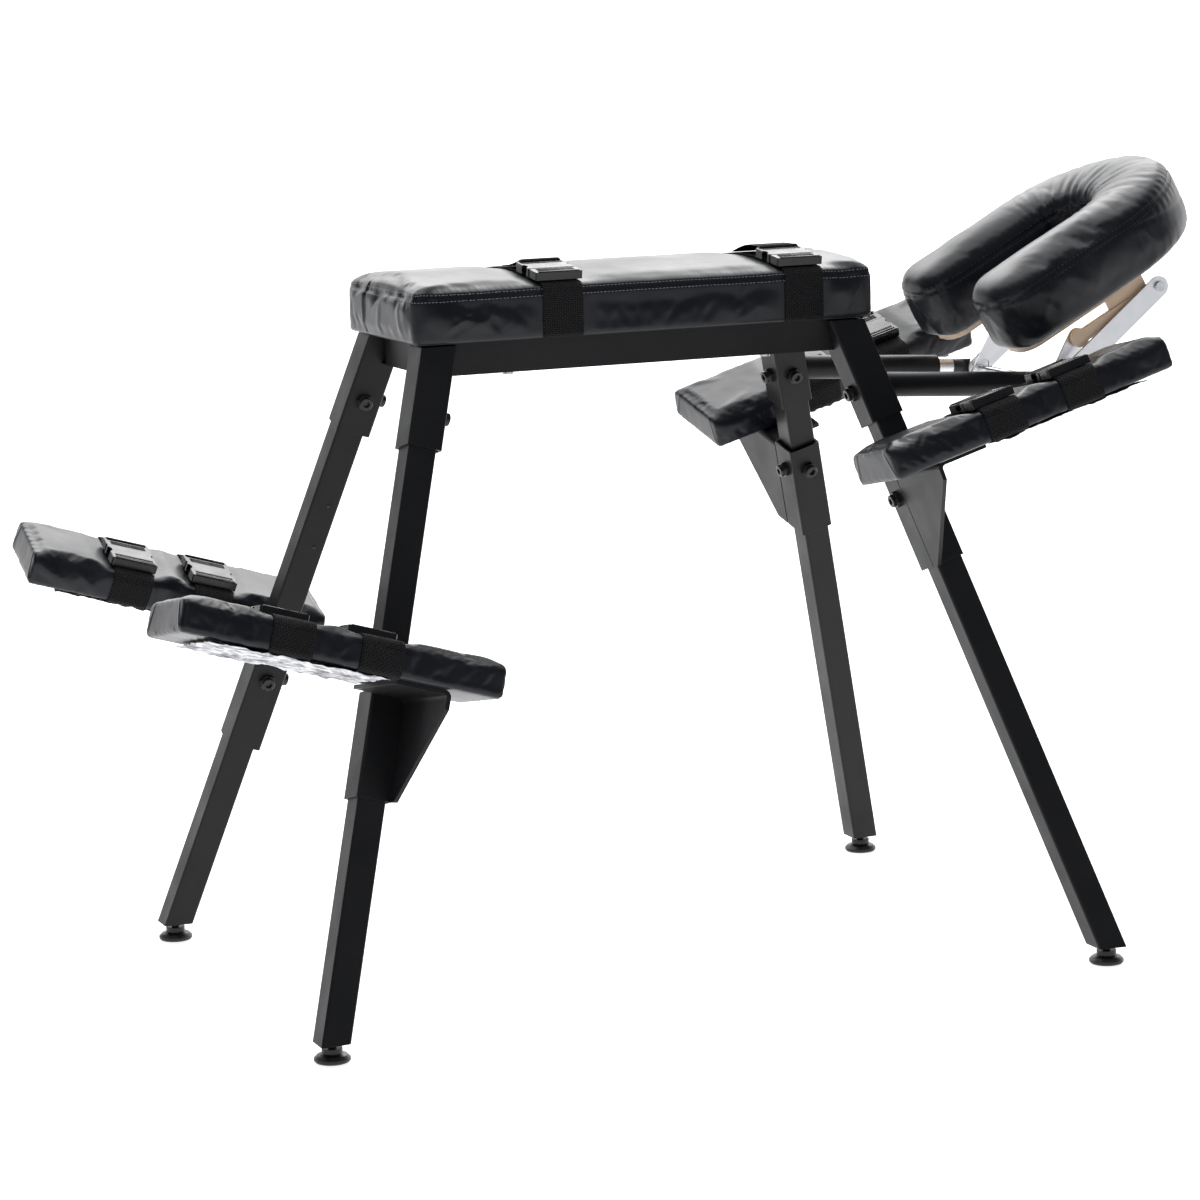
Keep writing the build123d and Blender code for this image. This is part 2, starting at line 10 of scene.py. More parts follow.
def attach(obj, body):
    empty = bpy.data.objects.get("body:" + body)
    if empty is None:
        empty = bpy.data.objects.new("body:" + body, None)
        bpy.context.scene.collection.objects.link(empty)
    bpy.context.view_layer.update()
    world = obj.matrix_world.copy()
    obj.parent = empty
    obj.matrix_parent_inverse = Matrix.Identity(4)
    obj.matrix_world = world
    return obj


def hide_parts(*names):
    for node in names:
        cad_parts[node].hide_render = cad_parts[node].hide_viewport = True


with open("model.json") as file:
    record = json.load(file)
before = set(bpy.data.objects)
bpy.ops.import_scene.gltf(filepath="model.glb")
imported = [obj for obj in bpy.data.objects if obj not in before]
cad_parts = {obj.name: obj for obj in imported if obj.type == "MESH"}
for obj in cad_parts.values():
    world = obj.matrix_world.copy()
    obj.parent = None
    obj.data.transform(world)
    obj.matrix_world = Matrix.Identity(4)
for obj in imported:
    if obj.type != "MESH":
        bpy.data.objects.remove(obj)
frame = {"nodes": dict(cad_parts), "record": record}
NODES = frame["nodes"]
scene = bpy.context.scene
MM = 0.001
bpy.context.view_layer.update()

# ---- the CAD sizes that the looks are built on, mm ---------------------------
FRAME_X = -51.1
FRAME_Y = -0.9
RAIL_TOP = 794.6
LEG_HEAD = 760.0
SEAT_LENGTH = 602.6
SEAT_WIDTH = 247.0
SEAT_EDGE_HEIGHT = 62.8
SEAT_CROWN = 12.0
SEAT_STRAPS = (-112.0, 206.0)
REST_LENGTH = 394.0
REST_WIDTH = 124.0
REST_THICK = 41.0
REST_OUT = 113.0
REST_EDGE = 13.0
REST_FOOT = 6.0
PAD_GAP = 0.05
WEB_WIDTH = 50.8
WEB_THICK = 1.6
WEB_GAP = 0.1
SLEEVE_FACE = 20.3
CRADLE_TILT = math.radians(28.1)
CUSHION_ORIGIN = (FRAME_X + 496.7, 745.6)
CUSHION_LENGTH = 336.0
CUSHION_WIDTH = 306.0
CUSHION_OPENING = 92.0
CUSHION_SLOT = 226.0
KNEE_END = dict(end=-1, foot=(506.7, 325.0), head=(278.8, 104.0), straps=(182.0, 74.0))
ARM_END = dict(end=1, foot=(505.1, 352.6), head=(278.8, 107.1), straps=(72.0, 181.0))
LEGS = {
    "knee_near": dict(KNEE_END, side=-1, top=434.0, along=117.0, droop=3.5, across=-14.0),
    "knee_far": dict(KNEE_END, side=1, top=418.0, along=116.0, droop=0.0, across=-10.0),
    "arm_near": dict(ARM_END, side=-1, top=665.0, along=112.0, droop=6.0, across=14.0),
    "arm_far": dict(ARM_END, side=1, top=665.0, along=108.0, droop=0.0, across=0.0),
}

# the sizes that the meshes use, m
HALF_L = SEAT_LENGTH / 2 * MM
HALF_W = SEAT_WIDTH / 2 * MM
BASE_Z = RAIL_TOP * MM
EDGE_Z = (RAIL_TOP + SEAT_EDGE_HEIGHT) * MM
SEAM_DROP = 0.007
STITCH_DROPS = (0.0025, 0.0115)
REST_HALF = (REST_LENGTH / 2 * MM, REST_WIDTH / 2 * MM, REST_THICK / 2 * MM)
FACE_SEAM = 0.060
FACE_STITCH_HEIGHTS = (56.0 * MM, 64.5 * MM)
PATH_STEP = 0.003
CLOTH_FRAMES = 20
# length, gap and radius of a thread stitch
SEAT_STITCH = (0.0032, 0.0016, 0.00034)
FACE_STITCH = (0.0042, 0.0020, 0.00038)
# along, thickness and height of a stitch's rings, as shares of its length and radius
STITCH_RINGS = ((0.0, 0.45, -0.4), (0.18, 1.0, 0.5), (0.82, 1.0, 0.5), (1.0, 0.45, -0.4))
STITCH_SIDES = 6
THREAD_LIFT = 0.0001

# folds in the covers: from, to, width and height, m
SEAT_SIDE_FOLDS = (
    ((-0.272, 0.010), (-0.200, 0.048), 0.0016, 0.0008),
    ((-0.262, 0.006), (-0.215, 0.030), 0.0022, -0.0005),
    ((-0.190, 0.014), (-0.160, 0.044), 0.0020, 0.0004),
    ((0.115, 0.018), (0.130, 0.050), 0.0018, 0.0005),
    ((0.135, 0.012), (0.152, 0.046), 0.0020, 0.0005),
    ((0.262, 0.010), (0.286, 0.048), 0.0020, 0.0006),
)
SEAT_END_FOLDS = (
    ((0.054, -0.004), (0.046, 0.080), 0.0018, 0.0019),
    ((0.047, -0.004), (0.039, 0.080), 0.0022, -0.0010),
    ((0.000, 0.002), (-0.010, 0.050), 0.0060, 0.0007),
    ((-0.085, 0.004), (-0.070, 0.048), 0.0050, 0.0007),
    ((0.088, 0.004), (0.094, 0.048), 0.0050, -0.0006),
)
FACE_SIDE_FOLDS = (
    ((0.200, 0.010), (0.205, 0.060), 0.0022, -0.0014),
    ((0.030, 0.012), (0.070, 0.050), 0.0070, 0.0010),
    ((0.120, 0.010), (0.150, 0.052), 0.0060, 0.0009),
    ((0.230, 0.010), (0.215, 0.050), 0.0050, 0.0012),
)
FACE_TIP_FOLDS = (
    ((-0.030, 0.020), (-0.002, 0.062), 0.0050, 0.0015),
    ((0.030, 0.016), (0.006, 0.060), 0.0050, 0.0012),
    ((0.002, 0.010), (0.000, 0.050), 0.0060, -0.0009),
)


# ---- materials -----------------------------------------------------------------
class Mat:
    """A small builder for one procedural material."""

    def __init__(self, name, base, rough, metal=0.0, coat=0.0, spec=0.5):
        self.m = bpy.data.materials.new(name)
        self.m.use_nodes = True
        self.nt = self.m.node_tree
        self.p = self.nt.nodes["Principled BSDF"]
        self.p.inputs["Base Color"].default_value = (*base, 1.0)
        self.p.inputs["Roughness"].default_value = rough
        self.p.inputs["Metallic"].default_value = metal
        self.p.inputs["Coat Weight"].default_value = coat
        self.p.inputs["Coat Roughness"].default_value = 0.2
        self.p.inputs["Specular IOR Level"].default_value = spec
        self.coord = self.nt.nodes.new("ShaderNodeTexCoord")
        self.normal = None

    def node(self, kind, **values):
        n = self.nt.nodes.new(kind)
        for key, value in values.items():
            n.inputs[key].default_value = value
        return n

    def link(self, a, b):
        self.nt.links.new(a, b)

    def tex(self, kind, scale, **values):
        """A texture laid in the object's own coordinates."""
        n = self.node(kind, Scale=scale, **values)
        self.link(self.coord.outputs["Object"], n.inputs["Vector"])
        return n

    def bump(self, height, strength, distance):
        """Adds a bump on top of the ones before it."""
        b = self.node("ShaderNodeBump", Strength=strength, Distance=distance)
        self.link(height, b.inputs["Height"])
        if self.normal is not None:
            self.link(self.normal, b.inputs["Normal"])
        self.normal = b.outputs["Normal"]
        self.link(self.normal, self.p.inputs["Normal"])
        return self

    def bevel(self, radius):
        """Rounds the sharp edges in the shading, for hard parts."""
        b = self.node("ShaderNodeBevel", Radius=radius)
        b.samples = 4
        self.normal = b.outputs["Normal"]
        self.link(self.normal, self.p.inputs["Normal"])
        return self

    def vary(self, source, target, low, high):
        """Drives one of the shader's inputs from the middle range of a noise."""
        limits = {"From Min": 0.3, "From Max": 0.7, "To Min": low, "To Max": high}
        r = self.node("ShaderNodeMapRange", **limits)
        self.link(source, r.inputs["Value"])
        self.link(r.outputs["Result"], self.p.inputs[target])
        return self

    def tint(self, source, low, high, start=0.3, stop=0.7):
        """Colours the shader between two shades."""
        r = self.node("ShaderNodeValToRGB")
        r.color_ramp.elements[0].position = start
        r.color_ramp.elements[0].color = (*low, 1.0)
        r.color_ramp.elements[1].position = stop
        r.color_ramp.elements[1].color = (*high, 1.0)
        self.link(source, r.inputs["Fac"])
        self.link(r.outputs["Color"], self.p.inputs["Base Color"])
        return self


def leather_grain(m):
    grain = m.tex("ShaderNodeTexVoronoi", 950.0)
    m.bump(grain.outputs["Distance"], 0.16, 0.00025)


def leatherette():
    """Black coated cloth: cloudy gloss, a soft unevenness and a fine grain."""
    rough = 0.34
    m = Mat("leatherette", (0.006, 0.007, 0.010), rough, coat=0.06, spec=0.32)
    cloud = m.tex("ShaderNodeTexNoise", 9.0, Detail=4.0)
    m.vary(cloud.outputs["Fac"], "Roughness", rough - 0.06, rough + 0.10)
    m.tint(cloud.outputs["Fac"], (0.004, 0.005, 0.008), (0.007, 0.008, 0.012))
    sag = m.tex("ShaderNodeTexNoise", 34.0, Detail=3.0)
    m.bump(sag.outputs["Fac"], 0.35, 0.0012)
    leather_grain(m)
    return m.m


def powder_coat():
    """Black paint baked on steel, with a slight orange peel."""
    m = Mat("powder_coat", (0.008, 0.008, 0.009), 0.42, spec=0.24).bevel(0.0008)
    cloud = m.tex("ShaderNodeTexNoise", 14.0, Detail=3.0)
    m.vary(cloud.outputs["Fac"], "Roughness", 0.36, 0.50)
    peel = m.tex("ShaderNodeTexNoise", 620.0, Detail=2.0)
    m.bump(peel.outputs["Fac"], 0.22, 0.0003)
    return m.m


def moulded(name, base, rough, grain=900.0, strength=0.1, spec=0.4):
    m = Mat(name, base, rough, spec=spec).bevel(0.0006)
    n = m.tex("ShaderNodeTexNoise", grain, Detail=2.0)
    m.bump(n.outputs["Fac"], strength, 0.0002)
    cloud = m.tex("ShaderNodeTexNoise", 40.0)
    m.vary(cloud.outputs["Fac"], "Roughness", rough - 0.05, rough + 0.08)
    return m.m


def metal(name, base, rough, stretch=(1.0, 1.0, 1.0)):
    """Bare metal; stretch squeezes the marks across an axis, as brushing does."""
    m = Mat(name, base, rough, metal=1.0).bevel(0.0005)
    mapping = m.node("ShaderNodeMapping", Scale=stretch)
    m.link(m.coord.outputs["Object"], mapping.inputs["Vector"])
    n = m.node("ShaderNodeTexNoise", Scale=90.0, Detail=5.0)
    m.link(mapping.outputs["Vector"], n.inputs["Vector"])
    m.vary(n.outputs["Fac"], "Roughness", rough - 0.07, rough + 0.12)
    m.bump(n.outputs["Fac"], 0.06, 0.0004)
    return m.m


def webbing_material():
    """Coarse plain weave drawn from the webbing's own length and width coordinates."""
    yarn_across, yarn_along = 0.0030, 0.0023
    m = Mat("webbing", (0.010, 0.010, 0.011), 0.70, spec=0.12)
    split = m.node("ShaderNodeSeparateXYZ")
    m.link(m.coord.outputs["UV"], split.inputs["Vector"])

    def calc(op, *values):
        n = m.node("ShaderNodeMath")
        n.operation = op
        for i, v in enumerate(values):
            if isinstance(v, float):
                n.inputs[i].default_value = v
            else:
                m.link(v, n.inputs[i])
        return n.outputs["Value"]

    def hump(yarns):
        return calc("ABSOLUTE", calc("SINE", calc("MULTIPLY", yarns, math.pi)))

    across = calc("MULTIPLY", split.outputs["X"], 1.0 / yarn_across)
    along = calc("MULTIPLY", split.outputs["Y"], 1.0 / yarn_along)
    parity = calc("MODULO", calc("ADD", calc("FLOOR", across), calc("FLOOR", along)), 2.0)
    lifted = calc("MULTIPLY", hump(across), calc("ADD", 0.45, calc("MULTIPLY", hump(along), 0.55)))
    sunk = calc("MULTIPLY", hump(along), 0.55)
    below = calc("MULTIPLY", sunk, calc("SUBTRACT", 1.0, parity))
    height = calc("ADD", calc("MULTIPLY", lifted, parity), below)
    m.bump(height, 1.0, 0.0011)
    # the colour follows the weave's height: near black where the yarns sink and lighter on the
    # raised yarns, painted shade between the yarns
    m.tint(height, (0.002, 0.002, 0.002), (0.026, 0.026, 0.028), 0.1, 0.9)
    return m.m


def dust_cover_material():
    m = Mat("dust_cover", (0.62, 0.62, 0.64), 0.85)
    n = m.tex("ShaderNodeTexNoise", 60.0, Detail=6.0)
    # the cloth's colour follows its crinkle bump: dark grey in the hollows and near white on the
    # ridges, painted shade and light on the crinkles
    m.tint(n.outputs["Fac"], (0.22, 0.22, 0.24), (0.80, 0.80, 0.82), 0.38, 0.60)
    m.bump(n.outputs["Fac"], 0.8, 0.003)
    return m.m


def wrapped_board():
    """The seat board in its black cloth."""
    m = Mat("wrapped_board", (0.008, 0.008, 0.010), 0.55)
    leather_grain(m)
    return m.m


LEATHER = leatherette()
THREAD = Mat("thread", (0.26, 0.26, 0.28), 0.6).m
DARK_THREAD = Mat("dark_thread", (0.012, 0.012, 0.013), 0.5).m
DUST = dust_cover_material()
WEB = webbing_material()
BUCKLE = moulded("buckle_plastic", (0.008, 0.008, 0.009), 0.24, spec=0.45)
LOOKS = {
    "black_frame": powder_coat(),
    "black_screws": moulded("black_oxide", (0.012, 0.012, 0.012), 0.28),
    "leatherette": LEATHER,
    "board": wrapped_board(),
    "zinc": metal("zinc", (0.62, 0.62, 0.60), 0.32),
    "webbing": WEB,
    "buckle": BUCKLE,
    "foot_plastic": moulded("foot_plastic", (0.014, 0.014, 0.014), 0.38),
    "post": metal("post_steel", (0.70, 0.70, 0.70), 0.30, (1.0, 8.0, 8.0)),
    "hub": moulded("hub_plastic", (0.015, 0.015, 0.016), 0.45),
    "aluminium": metal("aluminium_flat", (0.74, 0.75, 0.77), 0.38, (1.0, 6.0, 1.0)),
    "beige": moulded("beige_plastic", (0.60, 0.46, 0.34), 0.42, 300.0, 0.05),
    "pin": metal("pin_steel", (0.55, 0.56, 0.57), 0.24),
}
for entry in frame["record"]["subparts"]:
    node = NODES[entry["node"]]
    node.data.materials.clear()
    node.data.materials.append(LOOKS[entry["material_slot"]])


# ---- mesh helpers -------------------------------------------------------------
def new_object(name, verts, faces, material, body, slot, uvs=None):
    mesh = bpy.data.meshes.new(name)
    mesh.from_pydata([tuple(v) for v in verts], [], faces)
    mesh.materials.append(material)
    mesh.polygons.foreach_set("use_smooth", [True] * len(mesh.polygons))
    if uvs is not None:
        layer = mesh.uv_layers.new(name="UVMap")
        loops = np.array([loop.vertex_index for loop in mesh.loops])
        layer.data.foreach_set("uv", np.asarray(uvs, float)[loops].ravel())
    mesh.update()
    obj = bpy.data.objects.new(name, mesh)
    scene.collection.objects.link(obj)
    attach(obj, body)
    return obj


def tube_faces(base, rows, sides, caps=True):
    """Quads round a tube of rings, whose points are counted from base, and its two ends."""
    faces = [
        (a + k, a + (k + 1) % sides, a + sides + (k + 1) % sides, a + sides + k)
        for a in range(base, base + (rows - 1) * sides, sides)
        for k in range(sides)
    ]
    if caps:
        faces.append(tuple(base + k for k in range(sides - 1, -1, -1)))
        faces.append(tuple(base + (rows - 1) * sides + k for k in range(sides)))
    return faces


def distances(pts):
    """How far along a path of row points each point is."""
    seg = np.linalg.norm(np.diff(pts, axis=0), axis=1)
    return np.concatenate([[0], np.cumsum(seg)])


def at_distance(pts, run, q):
    return np.stack([np.interp(q, run, pts[:, k]) for k in range(pts.shape[1])], axis=-1)


def dense(pts, step=PATH_STEP):
    """The same path in even steps."""
    pts = np.asarray(pts, float)
    run = distances(pts)
    count = max(4, int(run[-1] / step))
    return at_distance(pts, run, np.linspace(0, run[-1], count + 1))


def coords(mesh):
    co = np.empty(len(mesh.vertices) * 3)
    mesh.vertices.foreach_get("co", co)
    return co.reshape(-1, 3)


def normals(mesh):
    no = np.empty(len(mesh.vertices) * 3)
    mesh.vertices.foreach_get("normal", no)
    return no.reshape(-1, 3)


def set_coords(mesh, co):
    mesh.vertices.foreach_set("co", np.asarray(co, float).ravel())
    mesh.update()


def smoothstep(x, low, high):
    t = np.clip((x - low) / (high - low), 0.0, 1.0)
    return t * t * (3 - 2 * t)


def fractal(points, scale, offset=0.0):
    shift = Vector((offset, offset, offset))
    return np.array([noise.fractal(Vector(p) * scale + shift, 1.0, 2.0, 3) for p in points])


def line_distance(p, a, b):
    a, b = np.array(a), np.array(b)
    t = np.clip(((p - a) @ (b - a)) / ((b - a) @ (b - a)), 0, 1)
    return np.linalg.norm(p - (a + t[:, None] * (b - a)), axis=1), t


def crease(p, a, b, width, height):
    """A raised fold from a to b that fades at both ends."""
    d, t = line_distance(p, a, b)
    return height * np.exp(-(d / width) ** 2) * np.sin(np.pi * np.clip(t, 0.02, 0.98)) ** 0.7


def add_folds(push, x, y, folds, mask):
    """Adds a table's folds to push, seen in the x and y of one face of a cushion."""
    p = np.stack([x, y], axis=1)
    for a, b, width, height in folds:
        push += crease(p, a, b, width, height) * mask


def clear_of(x, places, low, high):
    """0 near the straps at the given places, 1 away from them."""
    out = np.ones(len(x))
    for place in places:
        out *= smoothstep(np.abs(x - place), low, high)
    return out


class Local:
    """A local frame in metres: to and from row coordinates."""

    def __init__(self, origin, x, y, z):
        self.o = np.array(origin, float)
        self.r = np.stack([x, y, z]).astype(float)

    def inside(self, co):
        return (np.asarray(co, float) - self.o) @ self.r.T

    def outside(self, co):
        return np.asarray(co, float) @ self.r + self.o


def leg_frame(name):
    """A leg's foot, and its directions outward along, outward across and up the tube."""
    spec = LEGS[name]
    end, side = spec["end"], spec["side"]
    foot = np.array([FRAME_X + end * spec["foot"][0], FRAME_Y + side * spec["foot"][1], 0.0])
    head = np.array([FRAME_X + end * spec["head"][0], FRAME_Y + side * spec["head"][1], LEG_HEAD])
    ez = (head - foot) / np.linalg.norm(head - foot)
    ex = np.cross([0, 1, 0], ez)
    ex /= np.linalg.norm(ex)
    ey = np.cross(ez, ex)
    return foot * MM, ex * end, ey * side, ez


def rest_local(name, along=None, across=0.0, height=PAD_GAP + REST_THICK / 2):
    """x along the rest outward, y across it outward, z up; by default in the pad's middle."""
    foot, out_x, out_y, ez = leg_frame(name)
    spec = LEGS[name]
    lean = math.radians(spec["droop"])
    y_axis = out_y * math.cos(lean) - ez * math.sin(lean)
    z_axis = ez * math.cos(lean) + out_y * math.sin(lean)
    along = spec["along"] if along is None else along
    hinge = foot + (out_y * SLEEVE_FACE + ez * spec["top"]) * MM
    offset = out_x * along + y_axis * (REST_OUT - SLEEVE_FACE + across) + z_axis * height
    return Local(hinge + offset * MM, out_x, y_axis, z_axis)


def voxel_copy(node, voxel, solid=False):
    """A copy of a CAD node in even quads; solid closes the pocket for a board."""
    src = NODES[node]
    obj = bpy.data.objects.new(node + "_work", src.data.copy())
    if solid:
        bm = bmesh.new()
        bm.from_mesh(obj.data)
        hull = bmesh.ops.convex_hull(bm, input=bm.verts)
        inside = set(hull["geom_interior"]) | set(hull["geom_unused"])
        loose = [g for g in inside if isinstance(g, bmesh.types.BMVert)]
        bmesh.ops.delete(bm, geom=loose, context="VERTS")
        kept = set(g for g in hull["geom"] if isinstance(g, bmesh.types.BMFace))
        bmesh.ops.delete(bm, geom=[f for f in bm.faces if f not in kept], context="FACES_ONLY")
        bm.to_mesh(obj.data)
        bm.free()
    scene.collection.objects.link(obj)
    mod = obj.modifiers.new("remesh", "REMESH")
    mod.mode = "VOXEL"
    mod.voxel_size = voxel
    mod.use_smooth_shade = True
    dg = bpy.context.evaluated_depsgraph_get()
    mesh = bpy.data.meshes.new_from_object(obj.evaluated_get(dg))
    bpy.data.objects.remove(obj)
    return mesh


def relax(mesh, rounds):
    """Smooths the steps that the remesh leaves."""
    bm = bmesh.new()
    bm.from_mesh(mesh)
    axes = dict(use_axis_x=True, use_axis_y=True, use_axis_z=True)
    for _ in range(rounds):
        bmesh.ops.smooth_vert(bm, verts=bm.verts, factor=0.5, **axes)
    bm.to_mesh(mesh)
    bm.free()


def inflate(mesh, pinned, pressure):
    """Blows the skin up with cloth pressure and returns the moved points."""
    rest = coords(mesh)
    obj = bpy.data.objects.new("sim", mesh.copy())
    scene.collection.objects.link(obj)
    group = obj.vertex_groups.new(name="pin")
    group.add([int(i) for i in np.flatnonzero(pinned)], 1.0, "REPLACE")
    mod = obj.modifiers.new("cloth", "CLOTH")
    s = mod.settings
    s.quality = 5
    s.mass = 0.4
    s.tension_stiffness = 18.0
    s.compression_stiffness = 12.0
    s.shear_stiffness = 8.0
    s.bending_stiffness = 1.2
    s.use_pressure = True
    s.uniform_pressure_force = pressure
    s.vertex_group_mass = "pin"
    s.shrink_min = -0.012
    s.effector_weights.gravity = 0.0
    mod.point_cache.frame_start = 1
    mod.point_cache.frame_end = CLOTH_FRAMES
    scene.frame_start = 1
    scene.frame_end = CLOTH_FRAMES
    for f in range(1, CLOTH_FRAMES + 1):
        scene.frame_set(f)
    dg = bpy.context.evaluated_depsgraph_get()
    done = bpy.data.meshes.new_from_object(obj.evaluated_get(dg))
    out = coords(done)
    bpy.data.objects.remove(obj)
    bpy.data.meshes.remove(done)
    scene.frame_set(1)
    return out


def capped(move, limit):
    """Moves cut to a length."""
    length = np.linalg.norm(move, axis=1, keepdims=True)
    return move * np.minimum(1.0, limit / np.maximum(length, 1e-9))


def subdivided(mesh, name, body):
    """The cushion made of a mesh, divided once, in its leatherette."""
    obj = bpy.data.objects.new(name, mesh)
    scene.collection.objects.link(obj)
    mod = obj.modifiers.new("sub", "SUBSURF")
    mod.levels = 1
    mod.render_levels = 1
    dg = bpy.context.evaluated_depsgraph_get()
    fine = bpy.data.meshes.new_from_object(obj.evaluated_get(dg))
    obj.modifiers.clear()
    obj.data = fine
    fine.materials.clear()
    fine.materials.append(LEATHER)
    fine.polygons.foreach_set("use_smooth", [True] * len(fine.polygons))
    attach(obj, body)
    return obj


def surface_of(obj):
    faces = [tuple(p.vertices) for p in obj.data.polygons]
    return BVHTree.FromPolygons([v.co for v in obj.data.vertices], faces)


def stitches(name, path, tree, body, thread, stitch):
    """Short thread stitches laid along a path of row points, set on the surface."""
    length, gap, radius = stitch
    pts = np.asarray(path, float)
    run = distances(pts)
    verts, faces = [], []
    s = 0.001
    while s + length < run[-1]:
        ends = []
        for q in (s, s + length):
            near, nor, _, _ = tree.find_nearest(Vector(at_distance(pts, run, q)))
            ends.append((np.array(near), np.array(nor)))
        (a, up), (b, _) = ends
        direction = b - a
        if np.linalg.norm(direction) > 1e-6:
            direction /= np.linalg.norm(direction)
            up = up / np.linalg.norm(up)
            aside = np.cross(direction, up)
            base = len(verts)
            for t, r, h in STITCH_RINGS:
                c = a + (b - a) * t + up * (THREAD_LIFT + radius * h)
                for q in np.linspace(0, 2 * math.pi, STITCH_SIDES + 1)[:-1]:
                    verts.append(c + (aside * math.cos(q) + up * math.sin(q)) * radius * r)
            faces += tube_faces(base, len(STITCH_RINGS), STITCH_SIDES)
        s += length + gap
    new_object(name, verts, faces, thread, body, slot="webbing")


# ---- seat pad -----------------------------------------------------------------
def ring_path(half_l, half_w, radius):
    """Closed rounded rectangle as points, counted from the middle."""
    pts = []
    for sx, sy, start in ((1, 1, 0), (-1, 1, 90), (-1, -1, 180), (1, -1, 270)):
        for a in np.radians(np.linspace(start, start + 90, 14)):
            px = sx * (half_l - radius) + radius * math.cos(a)
            pts.append((px, sy * (half_w - radius) + radius * math.sin(a)))
    return pts + pts[:1]


def make_seat():
    mesh = voxel_copy("seat_pad", 0.0045, solid=True)
    relax(mesh, 1)
    rest = coords(mesh)
    pinned = rest[:, 2] < BASE_Z + 0.004
    moved = inflate(mesh, pinned, 5.0)
    straps = [(FRAME_X + s) * MM for s in SEAT_STRAPS]
    free = clear_of(rest[:, 0], straps, 0.027, 0.060)
    free *= smoothstep(rest[:, 2], BASE_Z, BASE_Z + 0.020)
    free[pinned] = 0.0
    set_coords(mesh, rest + capped(moved - rest, 0.004) * free[:, None])
    obj = subdivided(mesh, "seat_cushion", "frame")
    co = coords(obj.data)
    no = normals(obj.data)
    x = co[:, 0] - FRAME_X * MM
    y = co[:, 1] - FRAME_Y * MM
    z = co[:, 2]
    push = np.zeros(len(co))
    # the seam runs round the upper edge, with puckers either side of it
    edge = np.maximum(np.abs(x) - (HALF_L - 0.004), np.abs(y) - (HALF_W - 0.004))
    seam = np.hypot(z - (EDGE_Z - SEAM_DROP), np.maximum(0, -edge))
    along = np.where(np.abs(x) > HALF_L - 0.02, y, x)
    ripple = np.sin(along / 0.0085 * 2 * math.pi + 1.7 * np.sin(along / 0.043))
    ripple *= np.sin(along / 0.19)
    push -= 0.0011 * np.exp(-(seam / 0.0028) ** 2)
    push += 0.00025 * ripple * np.exp(-((seam - 0.008) / 0.007) ** 2)
    # drag lines on the long and short sides
    for sgn in (-1, 1):
        face = smoothstep(sgn * y, HALF_W - 0.010, HALF_W - 0.004)
        add_folds(push, -sgn * x, z - BASE_Z, SEAT_SIDE_FOLDS, face)
    for sgn in (-1, 1):
        face = smoothstep(sgn * x, HALF_L - 0.010, HALF_L - 0.004)
        add_folds(push, -sgn * y, z - BASE_Z, SEAT_END_FOLDS, face)
    push += 0.0003 * fractal(co, 18.0) * smoothstep(z, BASE_Z + 0.004, BASE_Z + 0.02)
    # the straps press the cover flat
    for s in SEAT_STRAPS:
        under = 1 - smoothstep(np.abs(x - s * MM), 0.0255, 0.031)
        push -= 0.0005 * under * (z > BASE_Z + 0.004)
    calm = clear_of(x, [s * MM for s in SEAT_STRAPS], 0.024, 0.034)
    push = push * calm + np.minimum(push, 0) * (1 - calm)
    push *= smoothstep(z, BASE_Z + 0.001, BASE_Z + 0.004)
    set_coords(obj.data, co + no * push[:, None])
    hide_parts("seat_pad")
    tree = surface_of(obj)
    for index, drop in enumerate(STITCH_DROPS):
        ring = dense(ring_path(HALF_L, HALF_W, 0.010))
        path = [(FRAME_X * MM + px, FRAME_Y * MM + py, EDGE_Z - drop) for px, py in ring]
        stitches("seat_stitching_" + str(index + 1), path, tree, "frame", THREAD, SEAT_STITCH)


make_seat()


# ---- webbing ------------------------------------------------------------------
def band(name, path, side, width, body, closed=True):
    """Webbing swept along a path of row points; side is the direction of its width."""
    thick = WEB_THICK * MM
    pts = np.asarray(path, float)
    n = len(pts)
    if closed:
        tangent = np.roll(pts, -1, axis=0) - np.roll(pts, 1, axis=0)
    else:
        before = np.vstack([pts[:1] * 2 - pts[1:2], pts[:-1]])
        tangent = np.vstack([pts[1:], pts[-1:] * 2 - pts[-2:-1]]) - before
    tangent /= np.linalg.norm(tangent, axis=1, keepdims=True)
    side = np.asarray(side, float)
    out = np.cross(side, tangent)
    out /= np.linalg.norm(out, axis=1, keepdims=True)
    run = distances(pts)
    # the section as shares of the width and thickness, thinner towards the selvedges
    upper = [(c, 0.5 - 2.2 * max(0.0, abs(c) * 2 - 0.9)) for c in np.linspace(-0.5, 0.5, 15)]
    lower = [(c, -h) for c, h in upper[::-1]]
    section = upper + [(0.508, 0.0)] + lower + [(-0.508, 0.0)]
    verts, uvs = [], []
    rows = n + 1 if closed else n
    for i in range(rows):
        j = i % n
        length = run[j] if i < n else run[-1] + np.linalg.norm(pts[0] - pts[-1])
        wave = 0.00012 / width * math.sin(length / 0.0034 * 2 * math.pi)
        for c, h in section:
            edge = 1 + wave * (abs(c) > 0.49)
            verts.append(pts[j] + side * c * width * edge + out[j] * h * thick)
            uvs.append((c * width, length))
    faces = tube_faces(0, rows, len(section), caps=not closed)
    return new_object(name, verts, faces, WEB, body, slot="webbing", uvs=uvs)


def crown_radius(width, crown):
    return width ** 2 / (8 * crown) + crown / 2


